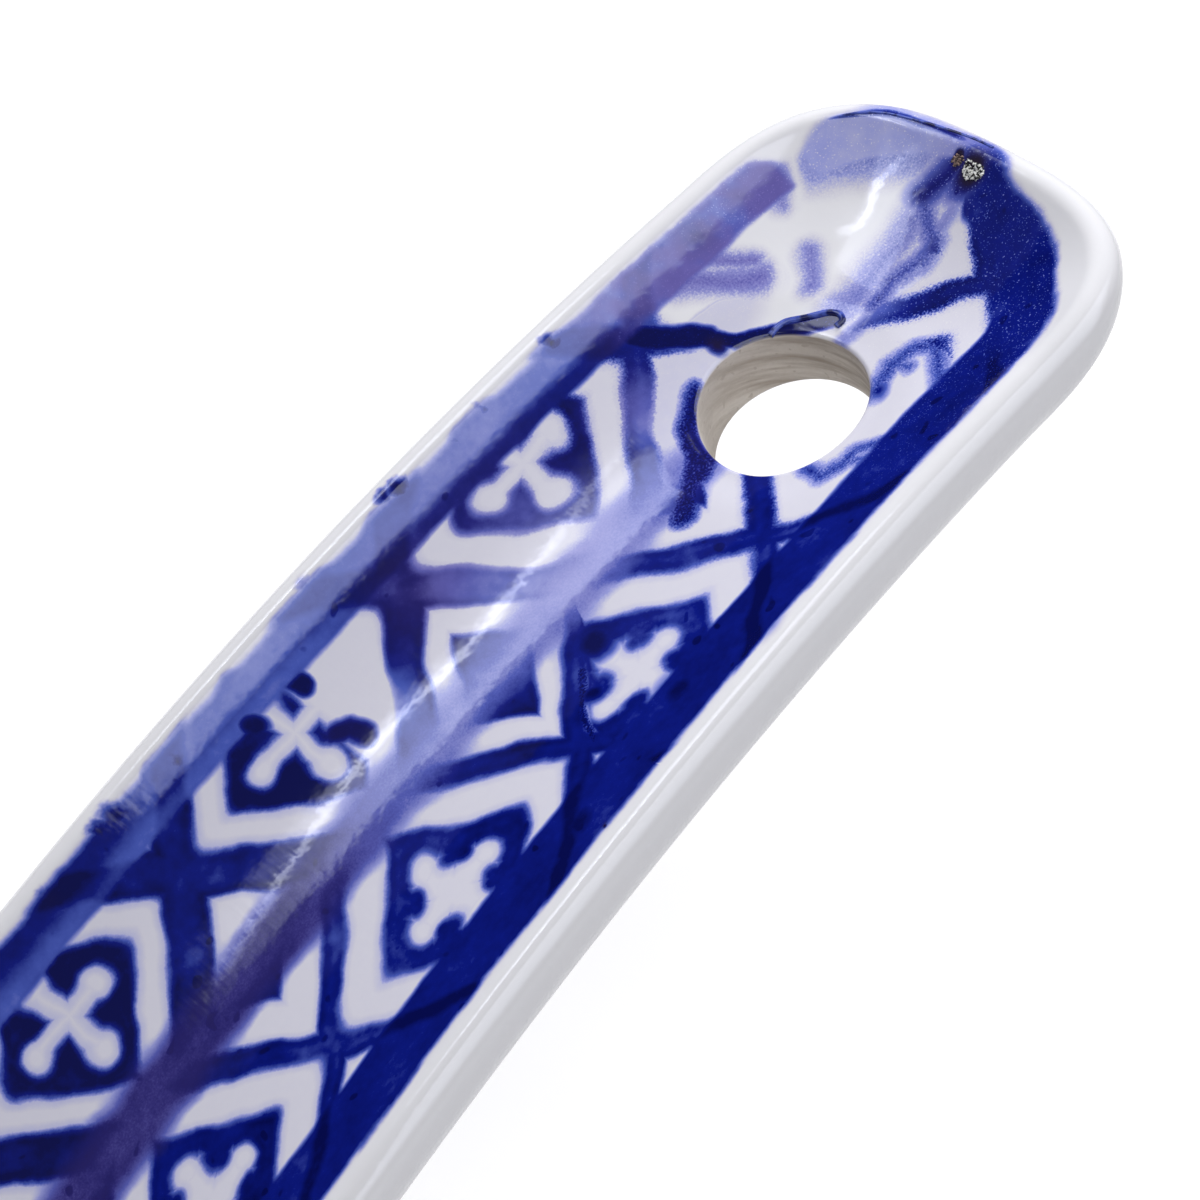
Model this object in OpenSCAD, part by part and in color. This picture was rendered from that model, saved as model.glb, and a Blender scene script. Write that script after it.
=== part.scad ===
// Chinese soup spoon in glazed porcelain, with a printed cobalt band round its rim.
// The front of the bowl points along -X and the handle rises along +X.
// The origin is on the flat foot, under the widest place of the bowl.
// A point on the spoon is given by three lengths: u along the floor line from the
// front of the bowl to the tip, v across it to the left, and h square to the floor line.

/* [Bowl] */
// Overall width of the bowl
bowl_w = 43; // [36:0.5:50]
// From the front edge of the bowl to its widest place
bowl_front_l = 31; // [26:0.5:38]
// From the front edge to where the floor starts to rise into the neck
bowl_flat_l = 58; // [50:0.5:66]
// Depth inside the bowl, from rim to floor
bowl_depth = 13.6; // [10:0.1:17]
// Radius of the rounded rim of the bowl
bowl_rim_r = 1.1; // [0.9:0.05:1.4]
// Thickness of the porcelain between the floor of the bowl and the foot
bowl_floor_t = 3.4; // [2.6:0.1:5]
// How much of the rounded underside is ground away to make the flat foot
foot_cut = 0.6; // [0.3:0.05:1]

/* [Neck] */
// Length of the curve that joins the bowl to the handle
neck_l = 26; // [20:0.5:34]
// Length over which the level rim of the bowl turns up into the rim of the handle
rim_sweep = 10; // [6:0.5:14]

/* [Handle] */
// Length of the handle from the neck to the tip, along its face
handle_l = 62; // [50:1:80]
// Width of the handle at the neck
handle_root_w = 21; // [17:0.1:24]
// Width of the handle at the hanging hole
handle_hole_w = 18.2; // [15:0.1:21]
// Radius of the arch that the handle follows
arch_r = 136; // [100:1:200]
// Slope of the handle's face at the tip, in degrees
tip_slope = 17; // [10:1:30]
// Length of the rounded tip
tip_round_l = 8.6; // [6:0.1:11]
// Depth of the trough in the handle's face
trough_depth = 2.4; // [1.4:0.05:3]
// Thickness of the porcelain in the middle of the handle
handle_t = 2.9; // [2.2:0.1:4]
// Radius of the rounded rim of the handle
handle_rim_r = 0.8; // [0.6:0.05:1.1]

/* [Hanging hole] */
// Diameter of the hole
hole_d = 6.4; // [4:0.1:7.5]
// From the middle of the hole to the tip, along the face
hole_from_tip = 12.6; // [11:0.1:18]
// Width of the soft edge where the glaze runs into the hole
hole_edge = 0.4; // [0.2:0.05:0.6]

/* [Cobalt band] */
// Width of the band
band_w = 2.4; // [1.6:0.1:3.4]
// From the inner edge of the rounded rim to the band
band_gap = 0.2; // [0.1:0.05:0.6]
// Thickness of the colour under the glaze
band_t = 0.2; // [0.15:0.01:0.3]

/* [Hidden] */
cut_over = hole_edge;
// Shapes of the sections, as powers: 1 is a straight slope, 2 a parabola or an ellipse.
bowl_inside_power = 3;
handle_inside_power = 2.2;
bowl_wall_power = 1.25;
handle_wall_power = 2;
bowl_side_power = 1.6;
handle_side_power = 2;
tip_power = 2.9;
// Half-width of the level underside, as a share of the half-width of the spoon
bowl_flat_share = 0.42;
handle_flat_share = 0.4;
// Where the section of the handle takes over from that of the bowl
section_start = bowl_flat_l - rim_sweep;
section_end = bowl_flat_l + neck_l + rim_sweep;
// Counts of the mesh: spokes in each part of the outline, and rings in each part of the wall
front_spokes = 13;
side_spokes = 31;
tip_spokes = 9;
inside_rings = 6;
band_rings = 2;
rim_rings = 7;
outside_rings = 8;
ring_turn = 90 / (inside_rings + 0.5);
spine_steps = 300;
profile_steps = 40;

full_l = bowl_flat_l + neck_l + handle_l;
spine_step = full_l / spine_steps;
hole_u = full_l - hole_from_tip;
neck_end = bowl_flat_l + neck_l;
tip_u = full_l - tip_round_l;
rim_level = bowl_floor_t + bowl_depth;
width_fall = (handle_root_w - handle_hole_w) / (hole_u - neck_end) / 2;

function clamp01(t) = max(0, min(1, t));
function ease(t) = let (c = clamp01(t)) c * c * (3 - 2 * c);
function mix(a, b, t) = a + (b - a) * t;
function degrees(t) = t * 180 / PI;
// The larger of two values, with a soft turn over the given width where they meet
function soft_max(a, b, width) =
    let (near = max(width - abs(a - b), 0) / width)
    max(a, b) + near * near * width / 4;

// The floor line: its slope, and its place as [x, z] at each step from the front edge
function slope(u) = (tip_slope + degrees((full_l - u) / arch_r)) * ease((u - bowl_flat_l) / neck_l);
spine = [for (i = 0, x = 0, z = 0; i <= spine_steps;
              x = x + spine_step * cos(slope((i + 0.5) * spine_step)),
              z = z + spine_step * sin(slope((i + 0.5) * spine_step)),
              i = i + 1) [i * spine_step, x, z]];
spine_x = [for (s = spine) [s[0], s[1]]];
spine_z = [for (s = spine) [s[0], s[2]]];
function floor_x(u) = lookup(u, spine_x) - bowl_front_l;
function floor_z(u) = lookup(u, spine_z) + bowl_floor_t;
function place(u, v, h) =
    let (a = slope(u)) [floor_x(u) - h * sin(a), v, floor_z(u) + h * cos(a)];

// Sizes that change along the spoon
function blend(u) = ease((u - section_start) / (section_end - section_start));
function rim_r(u) = mix(bowl_rim_r, handle_rim_r, blend(u));
function wall_t(u) = mix(bowl_floor_t + foot_cut, handle_t, blend(u));
function handle_half(u) = handle_hole_w / 2 + (hole_u - u) * width_fall;
function rim_height(u) = let (z = floor_z(u), c = cos(slope(u)))
    (soft_max(rim_level, z + trough_depth * c, rim_sweep) - z) / c;
// How far the rim is from the front edge, seen from above
function rim_x(u) = lookup(u, spine_x) - rim_height(u) * sin(slope(u));
function half_width(u) = mix(bowl_w / 2, handle_half(u),
    ease((rim_x(u) - bowl_front_l) / (rim_x(neck_end) - bowl_front_l)));

// The outline seen square to the floor line, from the front edge to the tip on the left side.
// Each spoke is [middle u, outline u, outline v].
front_half = [for (i = [0 : front_spokes - 1]) let (a = 90 * i / front_spokes)
    [bowl_front_l, bowl_front_l * (1 - cos(a)), bowl_w / 2 * sin(a)]];
side_half = [for (i = [0 : side_spokes - 1]) let (u = mix(bowl_front_l, tip_u, i / side_spokes))
    [u, u, half_width(u)]];
tip_half = [for (i = [0 : tip_spokes]) let (a = 90 * (1 - i / tip_spokes), bend = 2 / tip_power)
    [tip_u, tip_u + tip_round_l * pow(cos(a), bend), half_width(tip_u) * pow(sin(a), bend)]];
left_half = concat(front_half, side_half, tip_half);
last_left = len(left_half) - 1;
spokes = concat(left_half,
    [for (i = [1 : last_left - 1]) let (s = left_half[last_left - i]) [s[0], s[1], -s[2]]]);
spoke_count = len(spokes);

// Along a spoke: its length, its direction, and where the trough meets the rounded rim
function spoke_l(s) = norm([s[1] - s[0], s[2]]);
function on_spoke(s, r, h) =
    place(s[0] + (s[1] - s[0]) * r / spoke_l(s), s[2] * r / spoke_l(s), h);
function inside_power(s) = mix(bowl_inside_power, handle_inside_power, blend(s[1]));
function rim_start(s) = let (r = rim_r(s[1]))
    atan2(spoke_l(s) - 2 * r, inside_power(s) * (rim_height(s[1]) - r / 3));
function edge_r(s) = spoke_l(s) - rim_r(s[1]) * (1 + cos(rim_start(s)));
function edge_h(s) = rim_height(s[1]) - rim_r(s[1]) * (1 - sin(rim_start(s)));
function inside_h(s, t) = edge_h(s) * pow(t, inside_power(s));

// Place along the inside profile, as a share of the way to the rim, at a length down from the rim
function profile_points(s) = [for (i = [0 : profile_steps]) let (t = 1 - i / profile_steps)
    [t, t * edge_r(s), inside_h(s, t)]];
function down_table(s) = let (p = profile_points(s))
    [for (i = 0, d = 0; i <= profile_steps;
          d = d + (i < profile_steps ? norm([p[i + 1][1] - p[i][1], p[i + 1][2] - p[i][2]]) : 0),
          i = i + 1) [d, p[i][0]]];
band_shares = [for (s = spokes) let (table = down_table(s))
    [lookup(band_gap, table), lookup(band_gap + band_w, table)]];

// One ring of points is a function of the spoke s and its number i.
function inside_point(s, t) = on_spoke(s, t * edge_r(s), inside_h(s, t));
function inside_normal(s, i, t) =
    let (next = spokes[(i + 1) % spoke_count], back = spokes[(i + spoke_count - 1) % spoke_count],
         step = 1 / profile_steps,
         along = inside_point(next, t) - inside_point(back, t),
         across = inside_point(s, t + step) - inside_point(s, t - step),
         n = cross(across, along))
    n / norm(n) * (n[2] < 0 ? -1 : 1);
function sunk_point(s, i, t) = inside_point(s, t) - inside_normal(s, i, t) * band_t;
function rim_point(s, j) =
    let (a = mix(rim_start(s), 180, j / rim_rings), r = rim_r(s[1]))
    on_spoke(s, spoke_l(s) - r * (1 + cos(a)), rim_height(s[1]) - r * (1 - sin(a)));
function ground(p) = [p[0], p[1], max(p[2], 0)];
function outside_point(s, x) =
    let (b = blend(s[1]),
         flat = mix(bowl_flat_share, handle_flat_share, b),
         rise = 1 - pow(1 - pow(x, mix(bowl_wall_power, handle_wall_power, b)),
                        1 / mix(bowl_side_power, handle_side_power, b)),
         base = -wall_t(s[1]))
    ground(on_spoke(s, spoke_l(s) * mix(flat, 1, x),
                    mix(base, rim_height(s[1]) - rim_r(s[1]), rise)));

// The rings inside the band lie closer together towards the rim.
function ring_share(j) = sin(ring_turn * j) / sin(ring_turn * inside_rings);
inner_rings = [for (j = [1 : inside_rings]) [for (i = [0 : spoke_count - 1])
    inside_point(spokes[i], band_shares[i][1] * ring_share(j))]];
function band_share(i, j) = mix(band_shares[i][1], band_shares[i][0], j / band_rings);
groove_rings = [for (j = [0 : band_rings]) [for (i = [0 : spoke_count - 1])
    sunk_point(spokes[i], i, band_share(i, j))]];
band_top_rings = [for (j = [0 : band_rings]) [for (i = [0 : spoke_count - 1])
    inside_point(spokes[i], band_share(i, j))]];
rim_ring_list = [for (j = [0 : rim_rings]) [for (s = spokes) rim_point(s, j)]];
outer_rings = [for (j = [1 : outside_rings])
    [for (s = spokes) outside_point(s, cos(90 * j / outside_rings))]];
middle_top = [for (i = [front_spokes : last_left - tip_spokes]) place(left_half[i][0], 0, 0)];
middle_under = [for (i = [front_spokes : last_left - tip_spokes])
    ground(place(left_half[i][0], 0, -wall_t(left_half[i][1])))];

// Number of the middle point that a spoke starts from
function middle_of(i) =
    let (k = i % spoke_count, m = k <= last_left ? k : spoke_count - k)
    max(0, min(len(middle_top) - 1, m - front_spokes));
// Faces between two neighbouring rings that start at points a and b
function ring_faces(a, b) = [for (i = [0 : spoke_count - 1]) let (n = (i + 1) % spoke_count)
    each [[a + i, b + i, b + n], [a + i, b + n, a + n]]];
// Faces between the middle points, which start at m, and the ring that starts at a
function middle_faces(m, a) = [for (i = [0 : spoke_count - 1])
    let (n = (i + 1) % spoke_count, p = m + middle_of(i), q = m + middle_of(i + 1))
    each concat([[p, a + i, a + n]], p == q ? [] : [[p, a + n, q]])];
function turned(faces) = [for (f = faces) [f[2], f[1], f[0]]];
function flat_list(rings) = [for (r = rings) each r];

body_rings = concat(inner_rings, groove_rings, [band_top_rings[band_rings]], rim_ring_list, outer_rings);
body_points = concat(middle_top, flat_list(body_rings), middle_under);
body_under = len(middle_top) + len(body_rings) * spoke_count;
body_faces = concat(
    middle_faces(0, len(middle_top)),
    [for (j = [0 : len(body_rings) - 2])
        each ring_faces(len(middle_top) + j * spoke_count, len(middle_top) + (j + 1) * spoke_count)],
    turned(middle_faces(body_under, body_under - spoke_count)));

band_loop = concat(band_top_rings, [for (j = [band_rings : -1 : 0]) groove_rings[j]]);
band_faces = [for (j = [0 : len(band_loop) - 1])
    each turned(ring_faces(((j + 1) % len(band_loop)) * spoke_count, j * spoke_count))];

module at_hole() {
    translate(place(hole_u, 0, 0)) rotate([0, -slope(hole_u), 0]) children();
}

module hanging_hole() {
    at_hole() {
        translate([0, 0, -handle_t - cut_over])
            cylinder(h = handle_t + trough_depth + 2 * cut_over, d = hole_d, $fn = 64);
        translate([0, 0, -hole_edge])
            cylinder(h = 2 * hole_edge, d1 = hole_d, d2 = hole_d + 4 * hole_edge, $fn = 64);
    }
}

module porcelain_body() {
    color("ghostwhite") difference() {
        polyhedron(points = body_points, faces = body_faces, convexity = 6);
        hanging_hole();
    }
}

module cobalt_band() {
    color("navy") polyhedron(points = flat_list(band_loop), faces = band_faces, convexity = 6);
}

porcelain_body();
cobalt_band();
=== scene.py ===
import bpy
import numpy as np
from functools import partialmethod
from mathutils import Matrix, Vector


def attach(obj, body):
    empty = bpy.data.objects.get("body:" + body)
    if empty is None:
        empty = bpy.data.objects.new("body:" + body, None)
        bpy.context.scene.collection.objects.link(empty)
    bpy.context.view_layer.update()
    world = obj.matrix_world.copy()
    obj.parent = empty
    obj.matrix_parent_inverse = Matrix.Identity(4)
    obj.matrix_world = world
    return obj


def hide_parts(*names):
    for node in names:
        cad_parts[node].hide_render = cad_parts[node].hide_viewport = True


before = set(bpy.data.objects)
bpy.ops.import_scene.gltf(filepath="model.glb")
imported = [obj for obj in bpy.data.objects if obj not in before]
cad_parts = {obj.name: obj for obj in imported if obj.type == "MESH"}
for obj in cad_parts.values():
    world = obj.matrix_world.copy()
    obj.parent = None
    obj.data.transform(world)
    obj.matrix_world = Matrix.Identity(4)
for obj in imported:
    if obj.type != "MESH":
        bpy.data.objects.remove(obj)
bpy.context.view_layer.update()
print("frame loaded:", sorted(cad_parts))

mm = 0.001

# Sizes of the spoon in millimetres, measured along the floor line from the front edge of the bowl
spoon = {
    "fullLength": 146.0, "bowlFrontLength": 31.0, "bowlFlatLength": 58.0, "neckLength": 26.0,
    "bowlHalfWidth": 21.5, "bowlDepth": 13.6, "bowlFloor": 3.4, "footCut": 0.6, "bowlRimRadius": 1.1,
    "rimSweep": 10.0, "handleRootWidth": 21.0, "handleHoleWidth": 18.2, "archRadius": 136.0,
    "tipSlope": 17.0, "tipRound": 8.6, "tipPower": 2.9, "troughDepth": 2.4, "handleWall": 2.9,
    "handleRimRadius": 0.8, "holeWidth": 6.4, "holeFromTip": 12.6, "holeEdge": 0.2, "holeUnderEdge": 0.25,
    "dimpleDepth": 0.15, "dimpleReach": 5.1, "bowlFlatShare": 0.42, "handleFlatShare": 0.4,
    "bandWidth": 2.4, "bandGap": 0.2, "bandDepth": 0.2, "sheetTurns": 14.0,
}
# How finely the surfaces are divided
spoonMesh = {
    "frontSpokes": 64, "bowlSpacing": 0.9, "neckSpacing": 0.6, "handleSpacing": 0.42, "holeSpacing": 0.4,
    "tipSpokes": 42, "insideRings": 26, "bandRings": 6, "rimRings": 14, "outsideRings": 24,
    "holeReachAlong": 4.0, "holeRings": 21, "holeBlendRings": 7, "holeEdgeRings": 6, "boreRings": 8,
    "neckFinerFrom": 22, "neckFinerTo": 8, "grooveLip": 0.06, "bandEdgeShare": 0.025,
}

holeAt = spoon["fullLength"] - spoon["holeFromTip"]
neckEnd = spoon["bowlFlatLength"] + spoon["neckLength"]
tipAt = spoon["fullLength"] - spoon["tipRound"]


def ease(t):
    c = np.clip(t, 0, 1)
    return c * c * (3 - 2 * c)


def mix(a, b, t):
    return a + (b - a) * t


def slopeAt(u):
    arch = spoon["tipSlope"] + np.degrees((spoon["fullLength"] - u) / spoon["archRadius"])
    return np.radians(arch * ease((u - spoon["bowlFlatLength"]) / spoon["neckLength"]))


# The floor line, a step at a time from the front edge of the bowl
lineSteps = 300
lineStep = spoon["fullLength"] / lineSteps
lineRun = np.arange(lineSteps + 1) * lineStep
lineLean = slopeAt((np.arange(lineSteps) + 0.5) * lineStep)
lineX = np.concatenate([[0], np.cumsum(lineStep * np.cos(lineLean))]) - spoon["bowlFrontLength"]
lineZ = np.concatenate([[0], np.cumsum(lineStep * np.sin(lineLean))]) + spoon["bowlFloor"]


def floorX(u):
    return np.interp(u, lineRun, lineX)


def floorZ(u):
    return np.interp(u, lineRun, lineZ)


def handleShare(u):
    reach = spoon["neckLength"] + 2 * spoon["rimSweep"]
    return ease((u - spoon["bowlFlatLength"] + spoon["rimSweep"]) / reach)


def rimRadius(u):
    return mix(spoon["bowlRimRadius"], spoon["handleRimRadius"], handleShare(u))


def wallAt(u):
    return mix(spoon["bowlFloor"] + spoon["footCut"], spoon["handleWall"], handleShare(u))


def insidePower(u):
    return mix(3.0, 2.2, handleShare(u))


def rimHeight(u):
    z, c = floorZ(u), np.cos(slopeAt(u))
    bowlRim, handleRim = spoon["bowlFloor"] + spoon["bowlDepth"], z + spoon["troughDepth"] * c
    near = np.maximum(spoon["rimSweep"] - np.abs(bowlRim - handleRim), 0) / spoon["rimSweep"]
    return (np.maximum(bowlRim, handleRim) + near ** 2 * spoon["rimSweep"] / 4 - z) / c


def bentPlace(u, h):
    # where a point over the floor line lies in the bent spoon
    return floorX(u) - h * np.sin(slopeAt(u)), floorZ(u) + h * np.cos(slopeAt(u))


def rimX(u):
    return bentPlace(u, rimHeight(u))[0]


def halfWidth(u):
    fall = (spoon["handleRootWidth"] - spoon["handleHoleWidth"]) / (holeAt - neckEnd) / 2
    handle = spoon["handleHoleWidth"] / 2 + (holeAt - u) * fall
    return mix(spoon["bowlHalfWidth"], handle, ease(rimX(u) / rimX(neckEnd)))


def rimStart(length, u):
    r = rimRadius(u)
    return np.arctan2(length - 2 * r, insidePower(u) * (rimHeight(u) - r / 3))


def troughEdge(length, u):
    # where the trough meets the rounded rim: how far out, and how high
    a, r = rimStart(length, u), rimRadius(u)
    return length - r * (1 + np.cos(a)), rimHeight(u) - r * (1 - np.sin(a))


def faceHeight(u, v):
    # height of the inside face over the floor line, anywhere on the handle
    u, v = np.asarray(u, float), np.abs(np.asarray(v, float))
    past = np.maximum(u - tipAt, 0)
    r = np.hypot(past, v) + 1e-9
    w, p = halfWidth(np.minimum(u, tipAt)), spoon["tipPower"]
    length = 1 / ((past / r / spoon["tipRound"]) ** p + (np.maximum(v, 1e-9) / r / w) ** p) ** (1 / p)
    edgeU = np.where(past > 0, tipAt + past / r * length, u)
    out, high = troughEdge(length, edgeU)
    return high * np.minimum(r / out, 1) ** insidePower(edgeU)


def straightFrom(x, z, u):
    # the place along the floor line and the height over it of a point in the bent spoon
    h = np.zeros_like(x)
    for _ in range(8):
        a = slopeAt(u)
        dx, dz = x - floorX(u) + h * np.sin(a), z - floorZ(u) - h * np.cos(a)
        u = u + (dx * np.cos(a) + dz * np.sin(a)) / (1 + h / spoon["archRadius"])
        h = h - dx * np.sin(a) + dz * np.cos(a)
    return u, h


def spokeList():
    # each spoke of the plan: place of its middle and its outline point
    m, nose, wide = spoonMesh, spoon["bowlFrontLength"], spoon["bowlHalfWidth"]
    front = [(nose, nose * (1 - np.cos(a)), wide * np.sin(a))
             for a in np.linspace(0, np.pi / 2, m["frontSpokes"], endpoint=False)]
    neckFrom, neckTo, holeFrom = neckEnd - m["neckFinerFrom"], neckEnd + m["neckFinerTo"], holeAt - m["holeReachAlong"]
    cuts = [(nose, neckFrom, m["bowlSpacing"]), (neckFrom, neckTo, m["neckSpacing"]),
            (neckTo, holeFrom, m["handleSpacing"]), (holeFrom, tipAt, m["holeSpacing"])]
    stations = np.concatenate([np.linspace(a, b, int(round((b - a) / step)), endpoint=False) for a, b, step in cuts])
    sides = [(u, u, float(halfWidth(u))) for u in stations]
    bend = 2 / spoon["tipPower"]
    tip = [(tipAt, tipAt + spoon["tipRound"] * np.cos(a) ** bend, float(halfWidth(tipAt)) * np.sin(a) ** bend)
           for a in np.linspace(np.pi / 2, 0, m["tipSpokes"])]
    tip[-1] = (tipAt, spoon["fullLength"], 0.0)
    left = front + sides + tip
    return np.array(left + [(a, b, -c) for a, b, c in left[-2:0:-1]]), len(front), len(front) + len(sides), holeFrom


spokes, firstSide, firstTip, holeStart = spokeList()
spokeCount = len(spokes)
lastLeft = spokeCount // 2
middleU, edgeU, edgeV = spokes.T
spokeLength = np.hypot(edgeU - middleU, edgeV)
troughOut, troughHigh = troughEdge(spokeLength, edgeU)
power = insidePower(edgeU)


def onSpokes(radius, height):
    # a ring of points, as [along, across, height], one on each spoke
    share = radius / spokeLength
    return np.stack([middleU + (edgeU - middleU) * share, edgeV * share, height + 0 * radius], -1)


def profileShares(downs):
    # shares of the way out to the rim at lengths down from it, for each spoke
    t = np.linspace(1, 0, 400)
    found = []
    for i in range(spokeCount):
        r, h = t * troughOut[i], troughHigh[i] * t ** power[i]
        down = np.concatenate([[0], np.cumsum(np.hypot(np.diff(r), np.diff(h)))])
        found.append(np.interp(downs, down, t))
    return np.array(found).T


outerShare, innerShare = profileShares([spoon["bandGap"], spoon["bandGap"] + spoon["bandWidth"]])


def facePoints(share):
    return onSpokes(share * troughOut, troughHigh * share ** power)


def sunkPoints(share):
    # the bottom of the groove that holds the band, square to the face
    rise = troughHigh * power * share ** (power - 1) / troughOut
    deep = spoon["bandDepth"] / np.hypot(1, rise)
    return onSpokes(share * troughOut + rise * deep, troughHigh * share ** power - deep)


def rimPoints(share):
    r = rimRadius(edgeU)
    a = mix(rimStart(spokeLength, edgeU), np.pi, share)
    return onSpokes(spokeLength - r * (1 + np.cos(a)), rimHeight(edgeU) - r * (1 - np.sin(a)))


underFlat = mix(spoon["bowlFlatShare"], spoon["handleFlatShare"], handleShare(edgeU))


def outsidePoints(x):
    # the outer wall from the flat underside at 0 up to the rim at 1: full in the bowl, a quarter round in the handle
    b = handleShare(edgeU)
    rise = 1 - (1 - x ** mix(1.25, 2, b)) ** (1 / mix(1.6, 2, b))
    height = mix(-wallAt(edgeU), rimHeight(edgeU) - rimRadius(edgeU), rise)
    return onSpokes(spokeLength * mix(underFlat, 1, x), height)


def underPoints(share):
    return onSpokes(spokeLength * underFlat * share, -wallAt(edgeU))


def middleOf(i):
    # number of the middle point that a spoke starts from
    k = i % spokeCount
    k = k if k <= lastLeft else spokeCount - k
    return max(0, min(firstTip - firstSide, k - firstSide))


class straightShape:
    # points and faces in the straight spoon, and how bare of glaze each point is
    def __init__(self):
        self.places, self.bare, self.faces = [], [], []

    def add(self, points, bare=0.0):
        first = sum(len(p) for p in self.places)
        self.places.append(np.asarray(points, float))
        self.bare.append(np.broadcast_to(np.asarray(bare, float), (len(points),)))
        return list(range(first, first + len(points)))

    def join(self, a, b, turned=False):
        # quads between two rings given as lists of point numbers; gives the second
        n = len(a)
        quads = [(a[i], a[(i + 1) % n], b[(i + 1) % n], b[i]) for i in range(n)]
        self.faces += [q[::-1] for q in quads] if turned else quads
        return b


def dimpled(points):
    # the glaze dips round the hole, less and less down through the wall
    u, v, h = points.T
    away = np.hypot(u - holeAt, v)
    start = spoon["holeWidth"] / 2 + spoon["holeEdge"]
    share = 1 - ease((away - start) / (spoon["dimpleReach"] - start))
    deep = np.clip((h + spoon["handleWall"]) / spoon["handleWall"], 0, 1)
    return np.stack([u, v, h - spoon["dimpleDepth"] * share * deep], -1)


def middleFan(middle, ring):
    # faces from the middle points out to a ring, but for the hole's
    faces = []
    for i in range(spokeCount):
        n = (i + 1) % spokeCount
        p, q = middle[middleOf(i)], middle[middleOf(i + 1)]
        if not insideHole(i, n):
            faces.append((p, q, ring[n], ring[i]) if p != q else (p, ring[n], ring[i]))
    return faces


def onBore(heightOf, turn, radius, lift=None):
    # points round the axis of the bore, on a surface or at a given lift over the hole, and their lifts
    lean, cx, cz = slopeAt(holeAt), floorX(holeAt), floorZ(holeAt)
    t, v = radius * np.cos(turn), radius * np.sin(turn)
    u, c, s = holeAt + t, np.cos(lean), np.sin(lean)
    if lift is not None:
        u, h = straightFrom(cx + t * c - lift * s, cz + t * s + lift * c, u)
        return np.stack([u, v, h], -1), lift
    for _ in range(6):
        h = heightOf(u, v)
        x, z = bentPlace(u, h)
        u = u + t - ((x - cx) * c + (z - cz) * s)
        lift = (z - cz) * c - (x - cx) * s
    return np.stack([u, v, h], -1), lift


def holePatch(shape, middle, rings, heightOf, edge, topSide):
    # joins the square gap left in a surface to the round edge of the bore
    def inward(spoke):
        return [ring[spoke] for ring in reversed(rings)] + [middle[middleOf(spoke)]]

    def sideRun(spokes):
        return [rings[-1][i] for i in spokes]

    a, b = holeFirst, holeLast
    loop = inward(b) + inward(spokeCount - b)[-2::-1] + sideRun(range(spokeCount - b + 1, spokeCount - a))
    loop += inward(spokeCount - a) + inward(a)[-2::-1] + sideRun(range(a + 1, b))
    around = np.concatenate(shape.places)[loop]
    turn = np.arctan2(around[:, 1], around[:, 0] - holeAt)
    last, blends, edges = loop, spoonMesh["holeBlendRings"], spoonMesh["holeEdgeRings"]
    rim, _ = onBore(heightOf, turn, holeRadius + edge)
    for k in range(1, blends + 1):
        flat = mix(around, rim, k / blends)
        flat[:, 2] = heightOf(flat[:, 0], flat[:, 1])
        last = shape.join(last, shape.add(rim if k == blends else flat), topSide)
    bareFrom, bareOver = 0.55, 0.3  # where round the edge the glaze gives out
    for k in range(1, edges + 1):
        angle = np.pi / 2 * k / edges
        radius, down = holeRadius + edge * (1 - np.sin(angle)), edge * (1 - np.cos(angle)) * (1 if topSide else -1)
        _, lift = onBore(heightOf, turn, radius)
        points, lift = onBore(heightOf, turn, radius, lift - down)
        last = shape.join(last, shape.add(points, bare=ease((k / edges - bareFrom) / bareOver)), topSide)
    return last, lift, turn


holeRadius = spoon["holeWidth"] / 2
holeFirst = int(np.argmin(np.abs(edgeU[:firstTip] - holeStart)))
holeLast = firstTip


def insideHole(i, n):
    # True for a strip of the plan that the hole takes out
    i, n = [k if k <= lastLeft else spokeCount - k for k in (i, n)]
    return holeFirst <= min(i, n) and max(i, n) <= holeLast


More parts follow.
